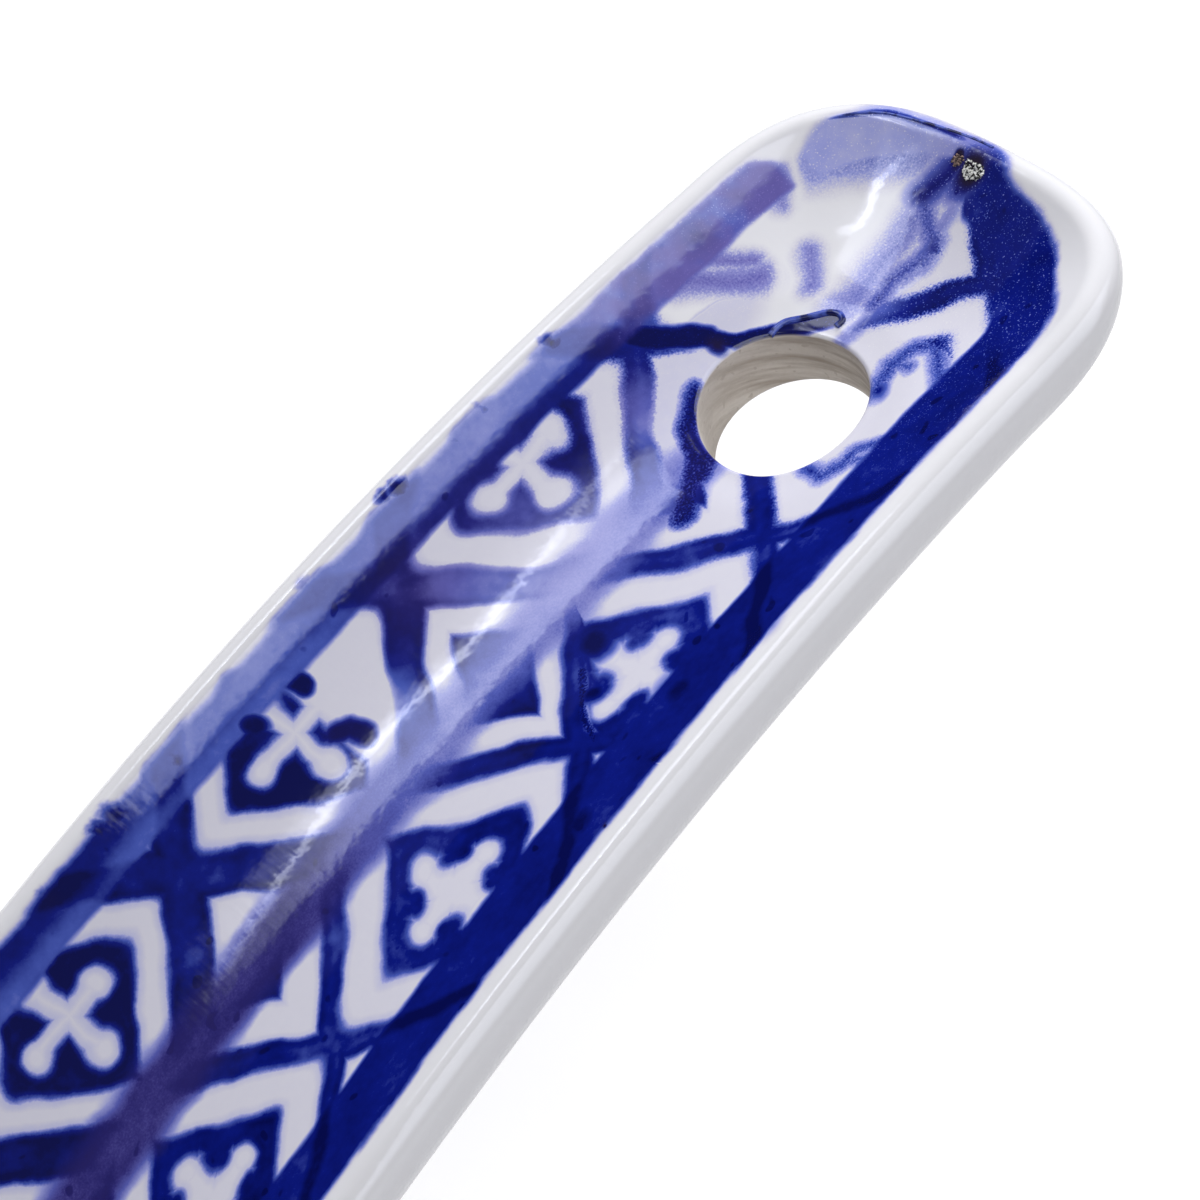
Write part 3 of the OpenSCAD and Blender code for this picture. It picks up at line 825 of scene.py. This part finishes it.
    # painted glint: the band is left out where the painted glint line crosses it near the tip
    gap = hump(u, 7.75, 0.75) * (w - 5.5).between(-0.3, 0.3)
    bandInk = blotch * 0.55 + line * 0.28 * flip((s - 5).between(-1, 1)) + 0.46
    bandInk = bandInk * flip(worn * 0.55) * flip(thin * 0.48) * flip(watery * 0.48)
    outside = outer.between(-0.42, 0.2)
    bandShare = outside * inner.inside(0.16) * flip(gap)
    ink = mix(ink, bandInk, bandShare) * outside
    # painted glint: the ink is lifted along a thin line, standing in for a highlight in the glaze
    ink = ink * flip(stroke(spot, paintedGlint, 0.16).inside(0.3) * 0.85)
    edgeLine = (abs(rim + rough * 0.4 + overTip * 0.75 - 0.22) - 0.05).inside(0.12) * worn * s.between(9.6, 10.4)
    ink = ink.more(edgeLine)
    purple = purple.more(bandShare * thin * flip(worn) * blotch.between(0.35, 0.6) * 0.9)

    # in the bowl the print keeps to its rim, inside a line and a thinner one
    bowl = s.between(-45, -52)
    ink = ink * flip(bowl * (rim - p["floorFrom"]).between(-0.15, 0.15))
    inFrom = rim + rough * 0.5 - p["floorFrom"]
    ring = (abs(inFrom - 0.5) - p["floorLine"]).inside(0.15)
    ring = ring.more((abs(inFrom - 1.6) - p["thinLine"]).inside(0.12) * 0.8)
    ink = ink.more(ring * bowl * (blotch * 0.5 + 0.5))

    # blots: those along the left rim are smudged, and none goes over the rim
    iron, smudgedFrom = None, 7.9
    inside = (rim + 1.25).between(-0.1, 0.1)
    smudged = joined(tree, u + (fray[0] - 0.5) * 0.3, w + (fray[1] - 0.5) * 0.3)
    for centre, radius, soft, strength, brown in blots.values():
        blot = (farFrom(smudged if centre[1] > smudgedFrom else spot, centre) - radius).inside(soft) * inside
        ink = ink.more(blot * strength)
        if brown:
            iron = blot * brown if iron is None else iron.more(blot * brown)
    # ink drops that sank into the glaze, and pinholes
    sunk = drops.between(0.76, 0.82) * (ink * outside).between(0.3, 0.6)
    pinholes = bubbles.between(0.66, 0.82) * (s.between(-5, 8) * 0.5 + 0.05)
    ink = (ink + sunk * 0.2 + (fray[2] - 0.5) * ink * 0.25) * flip(pinholes)

    colour = grow(tree, "ShaderNodeValToRGB", {0: ink})
    stops = ((0.0, "rimWhite"), (0.06, "white"), (0.18, "bleed"), (0.40, "pale"), (0.68, "cobalt"), (0.98, "deep"))
    steps = colour.socket.node.color_ramp.elements
    while len(steps) < len(stops):
        steps.new(0.5)
    for step, (at, shade) in zip(steps, stops):
        step.position, step.color = at, p[shade]
    violetInk = blendColour(ink.between(0.25, 0.85), p["purple"], p["darkPurple"])
    colour = blendColour(purple * ink.between(0.04, 0.2), colour, violetInk)
    colour = blendColour(iron, colour, p["iron"])
    results = tree.nodes.new("NodeGroupOutput")
    for name, value in (("Colour", colour), ("Blotch", blotch), ("Grain", grain)):
        feed(value, results.inputs[name])
    return tree


# Glaze and bare clay: roughness, how deep the ripples and grit go in metres, and their clouds like the print's
glaze = {
    "smooth": 0.04, "rippleRough": 0.05, "bareRough": 0.62, "ripple": 0.000008, "peel": 0.000004, "grit": 0.00006,
    "comb": 0.000003, "flatten": 0.00007, "flatReach": 3.8, "footBare": 0.00006, "drillTurn": 0.39,
    "drillStretch": 0.12, "dirtFrom": 0.0925, "rippleCloud": (700, 2.0, 0.5), "peelCloud": (2400, 1.0, 0.5),
    "gritCloud": (6000, 2.0, 0.6), "dirtCloud": (1900, 3.0, 0.6), "pitCloud": (4200, 0.0, 0.5),
    "combCloud": (1.0, 1.0, 0.5), "combAlong": 3.5, "combAcross": 0.6,
}


def newFinish(name):
    material = bpy.data.materials.new(name)
    material.use_nodes = True
    return material, material.node_tree, material.node_tree.nodes["Principled BSDF"].inputs


def glazeFinish(name, sheet):
    material, tree, shader = newFinish(name)
    colour = grow(tree, "ShaderNodeGroup", (), "Colour", node_tree=sheet)
    blotch, grain, bare = colour.other("Blotch"), colour.other("Grain"), readMark(tree, "bareClay")
    s, v, place = readMark(tree, "printAlong"), readMark(tree, "printAcross"), objectPlace(tree)
    along, _, high = parts(place)
    underFoot = high.between(glaze["footBare"] * 4, glaze["footBare"])
    # in the bore: rings left by the drill, dirt towards the tip side, and pits
    stretch = (glaze["drillStretch"], glaze["drillStretch"], 1.0)
    drilled = grow(tree, "ShaderNodeMapping",
                   {"Vector": place, "Rotation": (0, glaze["drillTurn"], 0), "Scale": stretch})
    dirt = clouds(drilled, *glaze["dirtCloud"]).between(0.38, 0.72)
    dirt = dirt * (along - glaze["dirtFrom"]).between(-0.005, 0.002)
    pits = clouds(place, *glaze["pitCloud"]).between(0.70, 0.76)
    clay = blendColour(grain * 0.35, printing["bareClay"], printing["paleClay"])
    clay = blendColour((dirt * 0.6).more(pits * 0.3), clay, printing["stain"])
    unglazed = bare.more(underFoot)
    glazeRough = blotch * glaze["rippleRough"] + glaze["smooth"]
    feed(blendColour(unglazed, colour, clay), shader["Base Color"])
    feed(unglazed * (glaze["bareRough"] - glaze["smooth"]) + glazeRough, shader["Roughness"])
    # short ripples across the trough, and a slope down from the rim on its right side
    comb = clouds(joined(tree, s * glaze["combAlong"], abs(v) * glaze["combAcross"]), *glaze["combCloud"])
    rim, reach = readMark(tree, "fromRim"), glaze["flatReach"]
    rimward = rim.calc("SMOOTH_MAX", 0.0, 0.9).calc("SMOOTH_MIN", reach, 0.9) - reach
    rimward = rimward * v.between(-1.0, -2.0) * s.between(-52, -42) * s.between(8.5, 4.5)
    grit = unglazed * clouds(drilled, *glaze["gritCloud"])
    height = clouds(place, *glaze["rippleCloud"]) * glaze["ripple"] + clouds(place, *glaze["peelCloud"]) * glaze["peel"]
    height = height + comb * glaze["comb"] + grit * glaze["grit"] + rimward * glaze["flatten"]
    feed(grow(tree, "ShaderNodeBump", {"Distance": 1.0, "Height": height}), shader["Normal"])
    shader["IOR"].default_value = 1.5
    return material


# Grains stuck in the glaze by the tip: their middle and reach in print millimetres, then sizes in metres and colours
grains = {
    "granule": {"along": 11.05, "across": 0.1, "reach": 0.44, "perSquareMetre": 2.2e8,
                "smallest": 0.00003, "largest": 0.00009, "seed": 4,
                "light": (0.92, 0.93, 0.9, 1), "dark": (0.012, 0.012, 0.014, 1), "rough": 0.08},
    "speck": {"along": 11.1, "across": 0.95, "reach": 0.26, "perSquareMetre": 3.0e8,
              "smallest": 0.00003, "largest": 0.00006, "seed": 9,
              "light": (0.30, 0.20, 0.17, 1), "dark": (0.035, 0.022, 0.02, 1), "rough": 0.45},
}
# Beads where the glaze pooled: a path in print millimetres, the radius in metres and how far it varies
beads = {
    "curl": {"path": ((2.0, 2.6), (2.7, 2.5), (3.4, 2.0), (4.0, 1.5), (4.2, 1.1), (4.05, 0.75), (3.75, 0.8)),
             "radius": 0.00013, "uneven": 0.5},
    "ridge": {"path": ((10.2, 6.35), (10.7, 5.75), (11.2, 4.8), (11.55, 3.5), (11.8, 2.2), (11.95, 1.0), (12.0, 0.3)),
              "radius": 0.00006, "uneven": 0.9},
}


def marksOf(piece):
    # print coordinates and places of the points on a piece's printed side
    mesh = piece.data
    places = np.zeros(len(mesh.vertices) * 3)
    mesh.vertices.foreach_get("co", places)
    marks = []
    for mark in ("printAlong", "printAcross", "fromRim", "bareClay"):
        values = np.zeros(len(mesh.vertices))
        mesh.attributes[mark].data.foreach_get("value", values)
        marks.append(values)
    overRim, halfBare = -1.4, 0.5
    printed = (marks[2] > overRim) & (marks[3] < halfBare)
    return np.array(marks[:2]).T[printed], places.reshape(-1, 3)[printed]


def onGlaze(along, across):
    # the point of the face that has these print coordinates
    marks, places = bodyMarks
    away = ((marks - (along, across)) ** 2).sum(1)
    nearest = np.argsort(away)[:4]
    share = 1 / (away[nearest] + 0.0001)
    return (places[nearest] * share[:, None]).sum(0) / share.sum()


def cloudFinish(name, perMetre, edges, low, high, rough, varies):
    # a finish whose colour and roughness follow one cloud
    material, tree, shader = newFinish(name)
    cloud = clouds(objectPlace(tree), perMetre, 2.0, 0.6)
    feed(blendColour(cloud.between(*edges), low, high), shader["Base Color"])
    feed(cloud * varies + rough, shader["Roughness"])
    return material


def grainFinish(name, look):
    return cloudFinish(name, 9000, (0.44, 0.56), look["dark"], look["light"], look["rough"], 0.1)


def pooledFinish():
    # thick glaze over blue: dark where it is deep, milky where it is thin
    return cloudFinish("pooledGlaze", 1900, (0.38, 0.58), printing["deep"], printing["pale"], 0.02, 0.06)


def sowTree():
    # sows small crystals over a round patch of a printed face
    sizes = ("Along", "Across", "Reach", "Per square metre", "Smallest", "Largest")
    tree, given = newTree("sowOnGlaze", {**dict.fromkeys(sizes, "Float"), "Seed": "Int"})
    seed, fullTurn, facingUp, margin = given["Seed"], 6.28, 0.3, 0.8
    here = joined(tree, namedMark(tree, "printAlong"), namedMark(tree, "printAcross"))
    away = here.vector("DISTANCE", joined(tree, given["Along"], given["Across"]), out=1)
    _, _, up = parts(grow(tree, "GeometryNodeInputNormal"))
    picked = up.calc("GREATER_THAN", facingUp) * away.calc("LESS_THAN", given["Reach"] + margin)
    spread = grow(tree, "GeometryNodeDistributePointsOnFaces", {
        "Mesh": given["Geometry"], "Selection": picked, "Density": given["Per square metre"], "Seed": seed})
    beyond = away.calc("GREATER_THAN", given["Reach"])
    kept = grow(tree, "GeometryNodeDeleteGeometry", {"Geometry": spread, "Selection": beyond}, domain="POINT")
    crystal = grow(tree, "GeometryNodeMeshIcoSphere", {"Radius": 1.0, "Subdivisions": 1})
    size = grow(tree, "FunctionNodeRandomValue", {2: given["Smallest"], 3: given["Largest"], "Seed": seed}, 1,
                data_type="FLOAT")
    turn = grow(tree, "FunctionNodeRandomValue", {1: (fullTurn,) * 3, "Seed": seed}, data_type="FLOAT_VECTOR")
    sown = grow(tree, "GeometryNodeInstanceOnPoints", {
        "Points": kept, "Instance": crystal, "Rotation": turn, "Scale": size})
    return endTree(tree, sown, given["Finish"])


def grainsOn(carrier, name, tree, look, finish):
    values = {"Along": look["along"], "Across": look["across"], "Reach": look["reach"], "Seed": look["seed"],
              "Per square metre": look["perSquareMetre"], "Smallest": look["smallest"], "Largest": look["largest"],
              "Finish": finish}
    return runTree(addObject(name, carrier.data.copy()), tree, values)


def beadTree():
    # an uneven bead of glaze along a line, thin at its ends
    tree, given = newTree("beadAlongLine", {"Radius": "Float", "Uneven": "Float"})
    curve = grow(tree, "GeometryNodeMeshToCurve", {"Mesh": given["Geometry"]})
    smooth = grow(tree, "GeometryNodeCurveSplineType", {"Curve": curve}, spline_type="CATMULL_ROM")
    smooth = grow(tree, "GeometryNodeResampleCurve", {"Curve": smooth, "Count": 90})
    share = grow(tree, "GeometryNodeSplineParameter", (), "Factor")
    arch = grow(tree, "ShaderNodeFloatCurve", {"Value": share})
    mapping = arch.socket.node.mapping
    ends = mapping.curves[0].points
    ends[0].location, ends[1].location = (0, 0.15), (1, 0.3)
    for at, thick in ((0.15, 0.8), (0.85, 1.0)):
        mapping.curves[0].points.new(at, thick)
    mapping.update()
    wave = grow(tree, "ShaderNodeTexNoise", {"Scale": 14, "W": share}, "Fac", noise_dimensions="1D")
    thick = arch * wave.calc("MULTIPLY_ADD", given["Uneven"], 0.6)
    sized = grow(tree, "GeometryNodeSetCurveRadius", {"Curve": smooth, "Radius": thick})
    profile = grow(tree, "GeometryNodeCurvePrimitiveCircle", {"Resolution": 12, "Radius": given["Radius"]})
    tube = grow(tree, "GeometryNodeCurveToMesh", {"Curve": sized, "Profile Curve": profile, "Fill Caps": True})
    return endTree(tree, tube, given["Finish"])


def beadAlong(name, tree, look, finish):
    line = lineObject(name, [onGlaze(*at) for at in look["path"]])
    return runTree(line, tree, {"Radius": look["radius"], "Uneven": look["uneven"], "Finish": finish})


sheet = printedSheet()
glazed = glazeFinish("glazedPorcelain", sheet)
cobalt = glazeFinish("cobaltUnderGlaze", sheet)
floorLine = lineObject("floorLine", [(x * mm, 0, z * mm) for x, z in zip(lineX, lineZ)])
bend = bendTree()
body = straightMesh("spoonBody", *bodyShape())
runTree(body, bend, {"Floor line": floorLine, "Foot level": 0.0, "Finish": glazed})
band = straightMesh("rimBand", *bandShape())
runTree(band, bend, {"Floor line": floorLine, "Foot level": 0.0, "Finish": cobalt})
bpy.data.objects.remove(floorLine)
print("spoon shaped:", len(body.data.polygons), "faces and", len(band.data.polygons), "in the band")

bodyMarks = marksOf(body)
frit = grainFinish("glassyFrit", grains["granule"])
rust = grainFinish("ironSpot", grains["speck"])
pooled = pooledFinish()
sow = sowTree()
granule = grainsOn(band, "fritGranule", sow, grains["granule"], frit)
speck = grainsOn(band, "ironSpeck", sow, grains["speck"], rust)
bead = beadTree()
curl = beadAlong("glazeCurl", bead, beads["curl"], pooled)
ridge = beadAlong("tipGlazeRidge", bead, beads["ridge"], pooled)
print("grains and beads of glaze:", [len(piece.data.polygons) for piece in (granule, speck, curl, ridge)])

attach(body, "root")
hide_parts("porcelain_body")
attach(band, "root")
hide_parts("cobalt_band")
for piece in (granule, speck, curl, ridge):
    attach(piece, "root")

# Camera at the photograph's place
view = {
    "place": (26.1497, -62.4930, 102.2717), "right": (0.7412, -0.67128, -0.00282),
    "ahead": (0.5243, 0.58152, -0.62204), "lens": 90.874,
}
ahead, right = Vector(view["ahead"]).normalized(), Vector(view["right"]).normalized()
up = right.cross(ahead).normalized()
camera = addObject("camera", bpy.data.cameras.new("camera"))
camera.data.lens, camera.data.sensor_width = view["lens"], 36
camera.data.clip_start, camera.data.clip_end = 0.005, 20
turned = Matrix((right, up, -ahead)).transposed().to_4x4()
turned.translation = Vector(view["place"]) * mm
camera.matrix_world = turned
bpy.context.scene.camera = camera

# Studio: soft panels that only show in the glaze. x and y say how far a panel leans from overhead, in degrees
# towards the tip and towards the left of the spoon; soft is how far its four edges fade (x, y low and high)
panels = {
    "veilPanel": {"x": (-42, 0), "y": (16, 34.0), "glow": 4.5, "soft": (16, 4, 3.5, 1.4), "away": 0.60},
    "hazePanel": {"x": (-25, -6), "y": (4, 19), "glow": 1.5, "soft": (8, 4, 14, 2), "away": 0.62},
    "shoulderPanel": {"x": (-39.5, 60), "y": (-80, -13.6), "glow": 3.2, "soft": (3, 25, 30, 2.0), "away": 0.64},
}
streak = {
    "path": ((-40, 31), (-33.3, 24.3), (-27.4, 20.2), (-20.5, 21.4), (-14, 17.8), (-11, 14.8), (-8, 12)),
    "strength": (0, 0.7, 1, 1, 0.6, 0.4, 0), "width": 1.7, "glow": 12.0, "away": 0.61,
}
lamps = {
    "topLamp": {"x": 34, "y": 34, "away": 0.38, "size": 0.3, "power": 1.6},
    "sideLamp": {"x": -10, "y": -26, "away": 0.7, "size": 0.5, "power": 2.8},
}
studio = {
    "aim": (85, 0, 38), "panelColour": (0.84, 0.88, 1.0, 1), "worldGlow": 0.10, "skyGlow": 1.05,
    "floorColour": (0.5, 0.5, 0.51, 1), "floorGlow": 0.42, "floorSeen": 0.98, "floorHalf": 3.0,
    "cardColour": (0.01, 0.01, 0.012, 1), "cardFrom": 0.30, "cardHalf": 0.7, "cardLow": 0.0005, "cardHigh": 0.26,
}


def leaning(x, y):
    lean, turn = np.radians(np.hypot(x, y)), np.arctan2(y, x)
    return Vector((np.sin(lean) * np.cos(turn), np.sin(lean) * np.sin(turn), np.cos(lean)))


def stageMesh(name, points, faces):
    mesh = bpy.data.meshes.new(name)
    mesh.from_pydata(points, [], faces)
    made = addObject(name, mesh)
    material, tree, shader = newFinish(name)
    mesh.materials.append(material)
    return made, tree, shader


def seenAs(tree, unseen, seen):
    # one value to the camera, another to all other light
    inputs = {"Value": grow(tree, "ShaderNodeLightPath", (), "Is Camera Ray"), "To Min": unseen, "To Max": seen}
    return grow(tree, "ShaderNodeMapRange", inputs, "Result")


def glowingSheet(name, leans, fades, glow, away):
    # a grid of leans made into a panel that shows only in the glaze and fades as it is told
    rows, columns = leans.shape[:2]
    points = [Vector(studio["aim"]) * mm + leaning(a, b) * away for a, b in leans.reshape(-1, 2)]
    faces = [(j * columns + i, j * columns + i + 1, (j + 1) * columns + i + 1, (j + 1) * columns + i)
             for j in range(rows - 1) for i in range(columns - 1)]
    made, tree, _ = stageMesh(name, points, faces)
    fade = made.data.attributes.new("fade", "FLOAT", "POINT")
    fade.data.foreach_set("value", np.ascontiguousarray(fades, np.float32).ravel())
    tree.nodes.clear()
    strength = readMark(tree, "fade") * glow
    light = grow(tree, "ShaderNodeEmission", {"Color": studio["panelColour"], "Strength": strength})
    both = grow(tree, "ShaderNodeAddShader", {0: light, 1: grow(tree, "ShaderNodeBsdfTransparent")})
    feed(both, tree.nodes.new("ShaderNodeOutputMaterial").inputs[0])
    made.visible_camera = made.visible_diffuse = made.visible_shadow = False


def softPanel(name, x, y, glow, soft, away):
    a, b = np.meshgrid(np.linspace(*x, 40), np.linspace(*y, 40))
    fades = ease((a - x[0]) / soft[0]) * ease((x[1] - a) / soft[1])
    fades = fades * ease((b - y[0]) / soft[2]) * ease((y[1] - b) / soft[3])
    glowingSheet(name, np.stack([a, b], -1), fades, glow, away)


def streakPanel(path, strength, width, glow, away):
    # a narrow panel that follows a path, brightest along its middle
    path = np.array(path, float)
    run = np.concatenate([[0], np.cumsum(np.hypot(*np.diff(path, axis=0).T))])
    steps, window = np.linspace(0, run[-1], 90), 9
    padded = [np.pad(np.interp(steps, run, path[:, k]), window // 2, mode="edge") for k in (0, 1)]
    x, y = [np.convolve(values, np.ones(window) / window, "valid") for values in padded]
    dx, dy = np.gradient(x), np.gradient(y)
    aside = np.stack([-dy, dx], -1) / np.hypot(dx, dy)[:, None]
    offsets = np.linspace(-1, 1, 9)
    leans = np.stack([x, y], -1)[:, None] + aside[:, None] * (offsets * width)[:, None]
    fades = np.interp(steps, run, strength)[:, None] * ease(1 - np.abs(offsets))
    glowingSheet("streakPanel", leans, fades, glow, away)


def softLamp(name, x, y, away, size, power):
    # a wide lamp that lights the spoon without showing in its glaze
    lamp = bpy.data.lights.new(name, "AREA")
    lamp.shape, lamp.size, lamp.energy = "DISK", size, power
    made = addObject(name, lamp)
    made.location = Vector(studio["aim"]) * mm + leaning(x, y) * away
    made.rotation_mode = "QUATERNION"
    made.rotation_quaternion = leaning(x, y).to_track_quat("Z", "Y")
    made.visible_camera = made.visible_glossy = False


for name, values in panels.items():
    softPanel(name, **values)
streakPanel(**streak)
for name, values in lamps.items():
    softLamp(name, **values)

# A dark card keeps the floor out of the glaze on the far side
far, wide, low, high = [studio[size] for size in ("cardFrom", "cardHalf", "cardLow", "cardHigh")]
cardCorners = [(-wide, far, low), (wide, far, low), (wide, far, high), (-wide, far, high)]
card, _, cardShader = stageMesh("darkCard", cardCorners, [(0, 1, 2, 3)])
card.visible_camera = card.visible_diffuse = card.visible_shadow = False
half = studio["floorHalf"]
floorCorners = [(-half, -half, 0), (half, -half, 0), (half, half, 0), (-half, half, 0)]
floor, floorTree, floorShader = stageMesh("floor", floorCorners, [(0, 1, 2, 3)])
for shader, colour, rough in ((cardShader, studio["cardColour"], 1.0), (floorShader, studio["floorColour"], 0.9)):
    shader["Base Color"].default_value = colour
    shader["Roughness"].default_value = rough
    shader["Specular IOR Level"].default_value = 0.0
floorShader["Emission Color"].default_value = studio["floorColour"]
feed(seenAs(floorTree, studio["floorGlow"], studio["floorSeen"]), floorShader["Emission Strength"])

world = bpy.data.worlds.new("studio")
bpy.context.scene.world = world
world.use_nodes = True
sky = world.node_tree.nodes["Background"].inputs
sky["Color"].default_value = (1, 1, 1, 1)
feed(seenAs(world.node_tree, studio["worldGlow"], studio["skyGlow"]), sky["Strength"])
bpy.context.scene.view_settings.view_transform = "Standard"
print("stage set")
